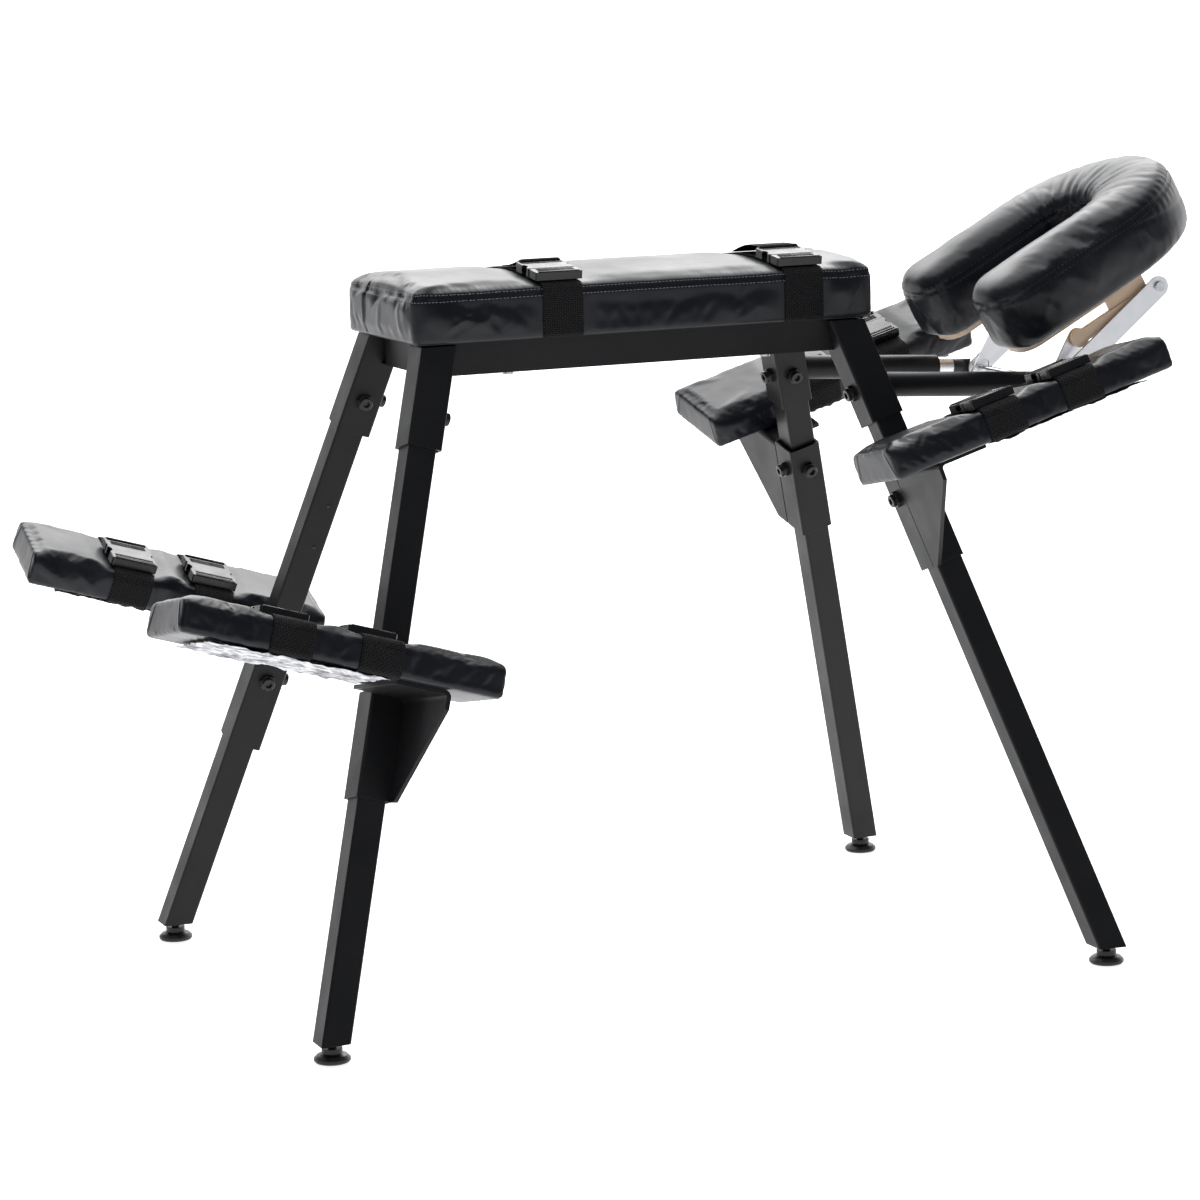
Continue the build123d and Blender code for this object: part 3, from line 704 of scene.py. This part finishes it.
def seat_outline(grow):
    """The strap's run across the bench, (y, z) in metres: over the pad and under the board."""
    half = HALF_W + grow
    top = EDGE_Z + grow
    r = 0.010 + grow
    low = (RAIL_TOP + PAD_GAP + WEB_THICK / 2) * MM
    crown = SEAT_CROWN * MM
    arc_r = crown_radius(2 * half, crown)
    over = [
        (y, top + crown - (arc_r - math.sqrt(arc_r ** 2 - y * y)))
        for y in np.linspace(half - r, -half + r, 41)
    ]
    first = math.radians(100)
    corner_z = over[-1][1] - r * math.sin(first)
    down = [
        (-half + r + r * math.cos(a), corner_z + r * math.sin(a))
        for a in np.linspace(first, math.pi, 8)
    ]
    down += [(-half, z) for z in np.linspace(down[-1][1] - 0.003, low + 0.003, 16)]
    under = [(y, low) for y in np.linspace(-half + 0.002, half - 0.002, 50)]
    return over + down + under + [(-y, z) for y, z in down[::-1]]


for index, offset in enumerate(SEAT_STRAPS):
    x = (FRAME_X + offset) * MM
    outline = seat_outline((WEB_GAP + WEB_THICK / 2) * MM)
    loop = dense([(x, FRAME_Y * MM + y, z) for y, z in outline])
    strap = band("seat_webbing_" + str(index + 1), loop, (1, 0, 0), WEB_WIDTH * MM, "frame")
    if index == 0:
        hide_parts("seat_straps")


# ---- knee and arm rests ----------------------------------------------------------
def rest_outline():
    """The strap's run round a rest, (y, z) in metres about the pad's middle."""
    _, hw, ht = REST_HALF
    lift = 0.0009
    edge, foot = REST_EDGE * MM, REST_FOOT * MM
    upper = [
        (hw - edge + (edge + lift) * math.cos(a), ht - edge + (edge + lift) * math.sin(a))
        for a in np.linspace(0, math.pi / 2, 10)
    ]
    lower = [
        (foot - hw - (foot + lift) * math.cos(a), foot - ht - (foot + lift) * math.sin(a))
        for a in np.linspace(0, math.pi / 2, 7)
    ]
    outline = upper + [(-y, z) for y, z in upper[::-1]]
    outline += lower + [(-y, z) for y, z in lower[::-1]]
    return outline + outline[:1]


def make_rest(name):
    local = rest_local(name)
    body = name + "_rest"
    seed = 3.0 * len(name) + LEGS[name]["top"] * 0.01
    straps = [(s - LEGS[name]["along"]) * MM for s in LEGS[name]["straps"]]
    mesh = voxel_copy(name + "_pad", 0.0035)
    relax(mesh, 1)
    rest = coords(mesh)
    p = local.inside(rest)
    hl, hw, ht = REST_HALF
    pinned = p[:, 2] < -ht + 0.003
    moved = inflate(mesh, pinned, 5.0)
    free = smoothstep(p[:, 2], -ht + 0.002, -ht + 0.014)
    free *= smoothstep(hl - np.abs(p[:, 0]), 0.0, 0.016)
    free *= clear_of(p[:, 0], straps, 0.027, 0.055)
    set_coords(mesh, rest + capped(moved - rest, 0.0045) * free[:, None])
    obj = subdivided(mesh, name + "_cushion", body)
    co = coords(obj.data)
    no = normals(obj.data)
    p = local.inside(co)
    x, y, z = p[:, 0], p[:, 1], p[:, 2]
    push = 0.0005 * fractal(p, 17.0, seed)
    # the cover is folded over at the four corners and drags a little from them
    corner = (((0.040, ht + 0.002), (0.058, -ht - 0.004), 0.0016, 0.0009),)
    drags = (
        ((hl - 0.002, 0.056), (hl - 0.060, 0.030), 0.0060, 0.0010),
        ((hl - 0.002, -0.054), (hl - 0.070, -0.026), 0.0065, 0.0010),
    )
    top = smoothstep(z, ht - 0.012, ht - 0.003)
    for sgn in (-1, 1):
        add_folds(push, np.abs(y), z, corner, smoothstep(sgn * x, hl - 0.006, hl - 0.002))
        add_folds(push, sgn * x, y, drags, top)
        # and it is pulled slantwise beside each strap
        side = smoothstep(sgn * y, hw - 0.012, hw - 0.004)
        shift = 0.012 * math.sin(seed + sgn)
        for s in straps:
            pulls = (
                ((s + 0.030, 0.014), (s + 0.052 + shift, -0.012), 0.0050, 0.0007),
                ((s - 0.030, 0.012), (s - 0.046 + shift, -0.014), 0.0045, 0.0006),
            )
            add_folds(push, x, z, pulls, side)
    push *= smoothstep(z, -ht + 0.001, -ht + 0.008)
    calm = clear_of(x, straps, 0.024, 0.036)
    push = push * calm - 0.0005 * (1 - calm) * (z > -ht + 0.002)
    set_coords(obj.data, co + no * push[:, None])
    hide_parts(name + "_pad")
    for index, s in enumerate(straps):
        loop = dense([local.outside((s, yy, zz)) for yy, zz in rest_outline()])[:-1]
        tag = name + "_webbing_" + str(index + 1)
        strap = band(tag, loop, local.r[0], WEB_WIDTH * MM, body)
        if index == 0:
            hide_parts(name + "_straps")


def dust_cover(name):
    """The crinkled cloth stapled under the rest, beside its bracket."""
    local = rest_local(name)
    ht = REST_HALF[2]
    nx, ny = 92, 46
    x0, x1, y0, y1 = -0.058, 0.160, -0.056, 0.056
    verts, faces = [], []
    for i in range(nx + 1):
        for j in range(ny + 1):
            u, v = i / nx, j / ny
            q = Vector((u * 9, v * 4.5, LEGS[name]["top"] * 0.1))
            rim = min(u, 1 - u) * 9 < 0.25 or min(v, 1 - v) * 4.5 < 0.2
            jag = 0.0040 * noise.noise(q * 2.1) if rim else 0.0
            drop = 0.0022 + 0.0034 * abs(noise.fractal(q, 1.0, 2.0, 4))
            place = (x0 + (x1 - x0) * u + jag, y0 + (y1 - y0) * v + jag, -ht - drop)
            verts.append(local.outside(place))
    for i in range(nx):
        for j in range(ny):
            a = i * (ny + 1) + j
            faces.append((a, a + 1, a + ny + 2, a + ny + 1))
    tag = name + "_dust_cover"
    obj = new_object(tag, verts, faces, DUST, name + "_rest", slot="webbing")
    solid = obj.modifiers.new("thickness", "SOLIDIFY")
    solid.thickness = 0.0003
    solid.offset = 0.0


for rest_name in LEGS:
    make_rest(rest_name)
    dust_cover(rest_name)


def tube_rivets():
    """Two small domes on the inner face of the far knee leg."""
    local = Local(*leg_frame("knee_far"))
    across, face, radius, height = -4.0, -17.6, 2.4, 1.1
    rings, sides = 5, 16
    for index, up in enumerate((629.0, 572.0)):
        verts = []
        for ring in range(rings):
            lean = ring * math.pi / 8
            for a in np.linspace(0, 2 * math.pi, sides + 1)[:-1]:
                r = radius * math.cos(lean)
                depth = face - height * math.sin(lean)
                point = (across + r * math.cos(a), depth, up + r * math.sin(a))
                verts.append(local.outside(np.array(point) * MM))
        faces = tube_faces(0, rings, sides, caps=False)
        faces.append(tuple((rings - 1) * sides + k for k in range(sides)))
        name = "knee_far_tube_rivet_" + str(index + 1)
        new_object(name, verts, faces, LOOKS["black_screws"], "knee_far_leg", slot="black_screws")


tube_rivets()


# ---- webbing ends and grips at the buckles, mm in the buckle's own frame -----------
BUCKLE_REACH = -80.0
PLUG_RIBS = (14.5, 17.2, 19.9, 22.6)
BODY_RIBS = (-23.0, -20.4)
PLUG_BAR = 32.1
BODY_BAR = -32.2
PLUG_WEB = ((25.2, 8.6), (26.6, 9.7), (28.2, 9.6), (29.2, 8.2), (29.3, 5.0), (29.3, 1.2))
BODY_WEB = ((-25.9, 8.6), (-27.3, 9.9), (-28.7, 9.8), (-29.7, 8.4), (-29.8, 5.0), (-29.8, 1.2))
TAIL_START = (
    (-28.5, 4.0), (-28.5, 8.5), (-28.8, 11.9), (-30.4, 13.3), (-32.8, 13.5), (-35.5, 12.4),
)
# length and hump of the loose end behind each seat buckle
SEAT_TAILS = ((58.0, 0.5), (78.0, 6.0))
SEAT_BEND = 0.00078


def buckle_frame(kind, along, across=0.0):
    """Origin and axes of a buckle: x across the webbing, y towards the plug, z up."""
    if kind == "seat":
        arc_r = crown_radius(SEAT_WIDTH, SEAT_CROWN)
        y = BUCKLE_REACH
        z = RAIL_TOP + SEAT_EDGE_HEIGHT + SEAT_CROWN - (arc_r - math.sqrt(arc_r ** 2 - y * y))
        z += WEB_GAP + WEB_THICK + 0.3
        tilt = math.asin(-y / arc_r)
        st, ct = math.sin(tilt), math.cos(tilt)
        place = np.array([FRAME_X + along, FRAME_Y + y, z]) * MM
        return Local(place, (-1, 0, 0), (0, -ct, -st), (0, -st, ct))
    height = PAD_GAP + REST_THICK + WEB_GAP + WEB_THICK + 0.1
    at = rest_local(kind, along, across, height)
    return Local(at.o, np.cross(at.r[1], at.r[2]), at.r[1], at.r[2])


def rib_mesh(local, places, width, depth, height, z0):
    """Rounded ribs across the buckle."""
    verts, faces = [], []
    for y in places:
        arc = np.linspace(0, math.pi, 7)
        ring = [(y + depth / 2 * math.cos(a), z0 + height * math.sin(a)) for a in arc]
        ring += [(y - depth / 2, z0 - 0.3), (y + depth / 2, z0 - 0.3)]
        faces += tube_faces(len(verts), 2, len(ring))
        for x in (-width / 2, width / 2):
            verts.extend(local.outside(np.array([x, yy, zz]) * MM) for yy, zz in ring)
    return verts, faces


def tail_path(tail, hump, bend):
    """The loose end as it leaves the body's slot and comes down on the pad behind it."""
    start = TAIL_START[-1][0]
    steps = 16
    path = list(TAIL_START)
    for k in range(1, steps + 1):
        s = k / steps
        y = start - tail * s
        ground = 1.2 - y * y * bend
        fall = (12.0 - ground) * (1 - s) ** 2.2
        path.append((y, ground + fall + hump * math.sin(math.pi * s)))
    return path


def dress_buckle(tag, local, body, plug_body, body_web=BODY_WEB):
    def grips(name, rider, *shape):
        new_object(tag + name, *rib_mesh(local, *shape), BUCKLE, rider, slot="buckle")

    def web(name, yz, rider):
        points = [local.outside(np.array([0.0, yy, zz]) * MM) for yy, zz in yz]
        width = (WEB_WIDTH - 0.6) * MM
        band(tag + name, dense(points, 0.0022), local.r[0], width, rider, closed=False)

    grips("_plug_ribs", plug_body, PLUG_RIBS, 46.0, 1.5, 0.7, 10.5)
    grips("_body_ribs", body, BODY_RIBS, 50.0, 1.4, 0.6, 11.0)
    web("_plug_web", PLUG_WEB, plug_body)
    grips("_plug_bar", plug_body, [PLUG_BAR], 53.0, 4.0, 1.5, 10.3)
    grips("_body_bar", body, [BODY_BAR], 53.0, 4.0, 1.5, 10.8)
    web("_body_web", body_web, body)


for index, offset in enumerate(SEAT_STRAPS):
    tag = str(index + 1)
    loose_end = tail_path(*SEAT_TAILS[index], SEAT_BEND)
    at = buckle_frame("seat", offset)
    dress_buckle("seat_" + tag, at, "frame", "seat_plug_" + tag, loose_end)
for rest_name, spec in LEGS.items():
    for index, along in enumerate(spec["straps"]):
        tag = str(index + 1)
        at = buckle_frame(rest_name, along, spec["across"])
        dress_buckle(rest_name + "_" + tag, at, rest_name + "_rest", rest_name + "_plug_" + tag)


# ---- face cushion -------------------------------------------------------------------
def cradle_local():
    """u along the cushion from its open end, v across it, w off the platform."""
    ct, st = math.cos(CRADLE_TILT), math.sin(CRADLE_TILT)
    place = np.array([CUSHION_ORIGIN[0], FRAME_Y, CUSHION_ORIGIN[1]]) * MM
    return Local(place, (ct, 0, st), (0, 1, 0), (-st, 0, ct))


CRADLE = cradle_local()


def horseshoe_run(centre, radius):
    """From one prong round to the other, as (u, v) in mm."""
    turn = np.linspace(0, math.pi, 40)
    bow = [(centre + radius * math.sin(a), -radius * math.cos(a)) for a in turn]
    return [(30.0, -radius)] + bow + [(30.0, radius)]


def tip_curve(side):
    """The short round at a prong's open end, from the outer to the inner side, in mm."""
    outer, inner = CUSHION_WIDTH / 2, CUSHION_OPENING / 2
    mid, half = (outer + inner) / 2, (outer - inner) / 2
    turn = np.linspace(0.25, math.pi - 0.25, 18)
    return [(half - half * math.sin(a) - 6.0, side * (mid + half * math.cos(a))) for a in turn]


def make_face_cushion():
    mesh = voxel_copy("face_cushion", 0.006)
    relax(mesh, 4)
    rest = coords(mesh)
    p = CRADLE.inside(rest)
    pinned = p[:, 2] < -0.002
    moved = inflate(mesh, pinned, 6.0)
    free = smoothstep(p[:, 2], -0.003, 0.020)
    set_coords(mesh, rest + capped(moved - rest, 0.008) * free[:, None])
    obj = subdivided(mesh, "face_pad", "cradle_head")
    co = coords(obj.data)
    no = normals(obj.data)
    p = CRADLE.inside(co)
    u, v, w = p[:, 0], p[:, 1], p[:, 2]
    push = 0.0008 * fractal(p, 16.0, 5.0)
    # pleats fan out over the crown from the round end of the opening
    hole = CUSHION_OPENING / 2 * MM
    cu = (CUSHION_SLOT - CUSHION_OPENING / 2) * MM
    ang = np.arctan2(v, u - cu)
    rad = np.hypot(u - cu, v)
    crown = smoothstep(w, 0.060, 0.078)
    around = smoothstep(np.cos(ang), -0.35, 0.25)
    swirl = ang * 15.0 + 3.0 * (rad - hole) / 0.1
    reach = np.exp(-np.clip(rad - hole, 0, 1) / 0.055)
    pleat = np.abs(np.sin(swirl)) ** 0.6
    fan = 0.0030 * (pleat - 0.55) * reach + 0.0006 * np.sin(ang * 41.0) * reach
    push += fan * crown * around
    inner_wall = smoothstep(0.060 - rad, 0.0, 0.010) * around * smoothstep(w, 0.012, 0.030)
    push += 0.0020 * (np.abs(np.sin(ang * 9.0 + 0.4)) ** 0.7 - 0.5) * inner_wall
    # seam groove and puckers where the crown panel meets the side band
    wall = smoothstep(w, 0.030, 0.045) * (1 - smoothstep(w, 0.070, 0.078))
    d = w - FACE_SEAM
    run = np.where(u > cu, ang * 0.11, u)
    push -= 0.0014 * np.exp(-(d / 0.0028) ** 2)
    pucker = 0.0003 * np.sin(run / 0.0100 * 2 * math.pi + 1.3 * np.sin(run / 0.031))
    push += pucker * np.exp(-((np.abs(d) - 0.009) / 0.008) ** 2) * wall
    # a second seam drops away from the first towards the head end
    outside = smoothstep(rad, 0.090, 0.115) * smoothstep(u, 0.19, 0.21)
    lower = w - (FACE_SEAM - 0.034 * smoothstep(u, 0.150, 0.340))
    push -= 0.0010 * np.exp(-(lower / 0.0026) ** 2) * outside
    for sgn in (-1, 1):
        side = smoothstep(sgn * v, 0.140, 0.150)
        add_folds(push, u, w, FACE_SIDE_FOLDS, side)
        tip = smoothstep(0.030 - u, 0.0, 0.020)
        add_folds(push, v * sgn - 0.0995, w, FACE_TIP_FOLDS, tip)
    push *= smoothstep(w, -0.006, 0.004)
    set_coords(obj.data, co + no * push[:, None])
    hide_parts("face_cushion")
    tree = surface_of(obj)
    radius = CUSHION_WIDTH / 2
    runs = (
        ("outer_", horseshoe_run(CUSHION_LENGTH - radius, radius)),
        ("inner_", horseshoe_run(CUSHION_SLOT - CUSHION_OPENING / 2, CUSHION_OPENING / 2)),
        ("tip_near_", tip_curve(-1)),
        ("tip_far_", tip_curve(1)),
    )
    for index, w0 in enumerate(FACE_STITCH_HEIGHTS):
        for tag, uv in runs:
            path = dense([CRADLE.outside((a * MM, b * MM, w0)) for a, b in uv])
            name = "face_stitching_" + tag + str(index + 1)
            stitches(name, path, tree, "cradle_head", DARK_THREAD, FACE_STITCH)


make_face_cushion()


# ---- studio -------------------------------------------------------------------
def studio():
    """White floor and back, darker towards the viewer and to the left, under soft banks."""
    scene.view_settings.view_transform = "Standard"
    floor_mat = Mat("studio_floor", (0.66, 0.66, 0.665), 0.12, spec=0.18)
    floor_mat.p.inputs["Emission Color"].default_value = (1.0, 1.0, 1.0, 1.0)
    floor_mat.p.inputs["Emission Strength"].default_value = 0.84
    mesh = bpy.data.meshes.new("studio_floor")
    bm = bmesh.new()
    bmesh.ops.create_grid(bm, x_segments=1, y_segments=1, size=30.0)
    bm.to_mesh(mesh)
    bm.free()
    mesh.materials.append(floor_mat.m)
    floor = bpy.data.objects.new("studio_floor", mesh)
    floor.location = (0, 0, -0.0005)
    scene.collection.objects.link(floor)

    world = bpy.data.worlds.new("studio_world")
    scene.world = world
    world.use_nodes = True
    nt = world.node_tree
    nt.nodes.clear()
    coord = nt.nodes.new("ShaderNodeTexCoord")
    facing = nt.nodes.new("ShaderNodeVectorMath")
    facing.operation = "DOT_PRODUCT"
    facing.inputs[1].default_value = (0.55, 0.835, 0.0)
    ramp = nt.nodes.new("ShaderNodeValToRGB")
    back = nt.nodes.new("ShaderNodeBackground")
    out = nt.nodes.new("ShaderNodeOutputWorld")
    to_unit = nt.nodes.new("ShaderNodeMapRange")
    to_unit.inputs["From Min"].default_value = -1.0
    to_unit.inputs["From Max"].default_value = 1.0
    ramp.color_ramp.elements[0].position = 0.70
    ramp.color_ramp.elements[0].color = (0.07, 0.075, 0.085, 1)
    ramp.color_ramp.elements[1].position = 0.88
    ramp.color_ramp.elements[1].color = (1.0, 1.0, 1.0, 1)
    back.inputs["Strength"].default_value = 1.9
    nt.links.new(coord.outputs["Generated"], facing.inputs[0])
    nt.links.new(facing.outputs["Value"], to_unit.inputs["Value"])
    nt.links.new(to_unit.outputs["Result"], ramp.inputs["Fac"])
    nt.links.new(ramp.outputs["Color"], back.inputs["Color"])
    nt.links.new(back.outputs["Background"], out.inputs["Surface"])

    def area(name, place, target, width, height, watts):
        light = bpy.data.lights.new(name, "AREA")
        light.shape = "RECTANGLE"
        light.size = width
        light.size_y = height
        light.energy = watts
        obj = bpy.data.objects.new(name, light)
        obj.location = place
        obj.rotation_mode = "QUATERNION"
        obj.rotation_quaternion = (Vector(place) - Vector(target)).to_track_quat("Z", "Y")
        scene.collection.objects.link(obj)

    area("key_top", (0.0, 0.9, 3.4), (0, 0, 0.5), 4.0, 3.0, 90)
    area("back_bank", (0.6, 3.6, 3.4), (0, 0, 0.6), 6.0, 2.2, 120)
    area("front_fill", (-1.2, -3.6, 2.6), (0, 0, 0.3), 3.0, 1.6, 6)


studio()


# ---- camera -------------------------------------------------------------------
CAMERA_AZIMUTH = 22.11
CAMERA_ELEVATION = 9.51
CAMERA_ROLL = -1.48
CAMERA_AIM = (0.0596, FRAME_Y * MM, 0.450)
CAMERA_BACK = 4.99489
CAMERA_LEFT = 0.12475
CAMERA_DOWN = 0.01192
CAMERA_LENS = 118.82


def photo_camera():
    angles = (CAMERA_AZIMUTH, CAMERA_ELEVATION, CAMERA_ROLL)
    az, el, roll = (math.radians(a) for a in angles)
    forward = (math.cos(el) * math.sin(az), math.cos(el) * math.cos(az), -math.sin(el))
    forward = np.array(forward)
    right = np.array([math.cos(az), -math.sin(az), 0.0])
    up = np.cross(right, forward)
    r = math.cos(roll) * right + math.sin(roll) * up
    u = -math.sin(roll) * right + math.cos(roll) * up
    place = np.array(CAMERA_AIM) - CAMERA_BACK * forward - CAMERA_LEFT * r - CAMERA_DOWN * u
    cam = bpy.data.cameras.new("camera")
    cam.sensor_width = 36.0
    cam.lens = CAMERA_LENS
    cam.clip_end = 100.0
    obj = bpy.data.objects.new("camera", cam)
    m = Matrix.Identity(4)
    for k, axis in enumerate((r, u, -forward)):
        for i in range(3):
            m[i][k] = axis[i]
    for i in range(3):
        m[i][3] = place[i]
    obj.matrix_world = m
    scene.collection.objects.link(obj)
    scene.camera = obj


photo_camera()
